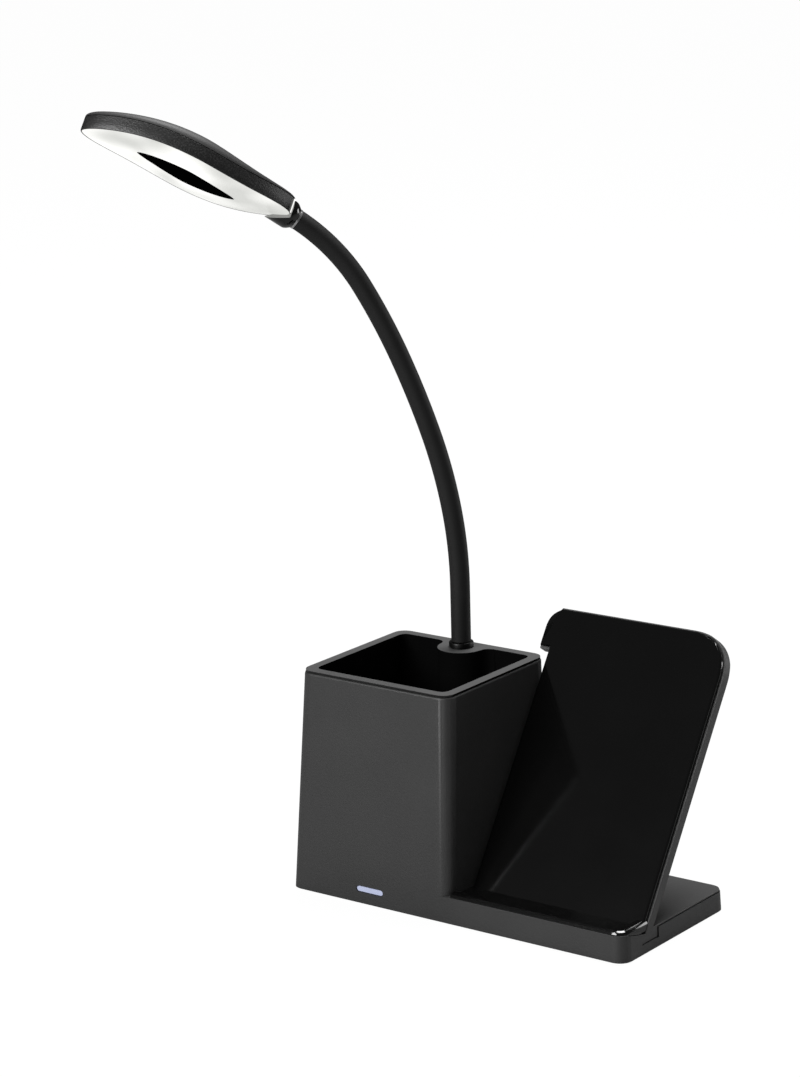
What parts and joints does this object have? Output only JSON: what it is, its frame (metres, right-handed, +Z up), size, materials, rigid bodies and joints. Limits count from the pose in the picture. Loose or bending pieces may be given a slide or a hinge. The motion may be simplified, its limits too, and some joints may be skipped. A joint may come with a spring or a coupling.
{
  "type": "led table lamp",
  "caption": "Table lamp with a bending neck and an oval lit head, on a base with a square pen holder and a leaning charging stand.",
  "frame": {"origin": "middle of the base at desk level, on the underside of the anti-slip pad", "axes": "+X from the pen holder to the charging stand, +Y to the back, +Z up"},
  "size_m": [0.2166, 0.1228, 0.3079],
  "materials": {
    "matte_shell": "matte",
    "frame_shell": "matte",
    "gloss_shell": "gloss",
    "underside": "matte",
    "black_rubber": "matte",
    "satin_shell": "satin",
    "grey_cover": "satin",
    "frosted_white": "frosted",
    "tinted_window": "translucent",
    "white_board": "matte",
    "circuit_board": "satin",
    "ferrite": "matte",
    "copper": "satin",
    "dark_metal": "satin",
    "steel": "satin"
  },
  "bodies": {
    "base": {"main_housing": "matte_shell", "cup_insert": "gloss_shell", "stand_frame": "frame_shell", "stand_cover": "gloss_shell", "bottom_cover": "underside", "anti_slip_pad": "black_rubber", "ballast_plate": "steel", "bottom_screw_1": "steel", "bottom_screw_2": "steel", "bottom_screw_3": "steel", "bottom_screw_4": "steel", "stand_screw_1": "steel", "stand_screw_2": "steel", "main_circuit_board": "circuit_board", "usb_inlet": "steel", "indicator_window": "tinted_window", "indicator_led": "circuit_board", "charging_coil": "copper", "ferrite_sheet": "ferrite", "charger_board": "circuit_board", "neck_socket": "dark_metal", "neck_nut": "steel", "core_link_0": "steel", "sleeve_1": "black_rubber"},
    "neck_1": {"core_link_1": "steel", "sleeve_2": "black_rubber"},
    "neck_2": {"core_link_2": "steel", "sleeve_3": "black_rubber"},
    "neck_3": {"core_link_3": "steel", "sleeve_4": "black_rubber"},
    "neck_4": {"core_link_4": "steel", "sleeve_5": "black_rubber"},
    "neck_5": {"core_link_5": "steel", "collar_ring": "dark_metal"},
    "head": {"head_frame": "satin_shell", "head_top_cover": "grey_cover", "diffuser": "frosted_white", "centre_plate": "gloss_shell", "led_board": "white_board", "driver_board": "circuit_board", "touch_electrode": "copper", "head_screw_1": "steel", "head_screw_2": "steel"}
  },
  "joints": [
    {"name": "bend_low", "type": "hinge", "parent": "base", "child": "neck_1", "pos_m": [-0.0365, 0.0248, 0.114], "axis": [0.7071, -0.7071, 0], "range_deg": [-20, 20], "deforming": ["sleeve_1"]},
    {"name": "side_low", "type": "hinge", "parent": "neck_1", "child": "neck_2", "pos_m": [-0.03839, 0.02291, 0.14585], "axis": [0.6972, 0.6972, 0.1668], "range_deg": [-20, 20], "deforming": ["sleeve_2"]},
    {"name": "bend_mid", "type": "hinge", "parent": "neck_2", "child": "neck_3", "pos_m": [-0.04376, 0.01754, 0.17691], "axis": [0.7071, -0.7071, 0], "range_deg": [-25, 25], "deforming": ["sleeve_3"]},
    {"name": "side_high", "type": "hinge", "parent": "neck_3", "child": "neck_4", "pos_m": [-0.05161, 0.00969, 0.20691], "axis": [0.6523, 0.6523, 0.3859], "range_deg": [-25, 25], "deforming": ["sleeve_4"]},
    {"name": "bend_high", "type": "hinge", "parent": "neck_4", "child": "neck_5", "pos_m": [-0.06156, -0.00026, 0.23563], "axis": [0.7071, -0.7071, 0], "range_deg": [-30, 25], "deforming": ["sleeve_5"]},
    {"name": "head_roll", "type": "hinge", "parent": "neck_5", "child": "head", "pos_m": [-0.07906, -0.01776, 0.26287], "axis": [-0.5792, -0.5792, 0.5736], "range_deg": [-60, 60]}
  ]
}
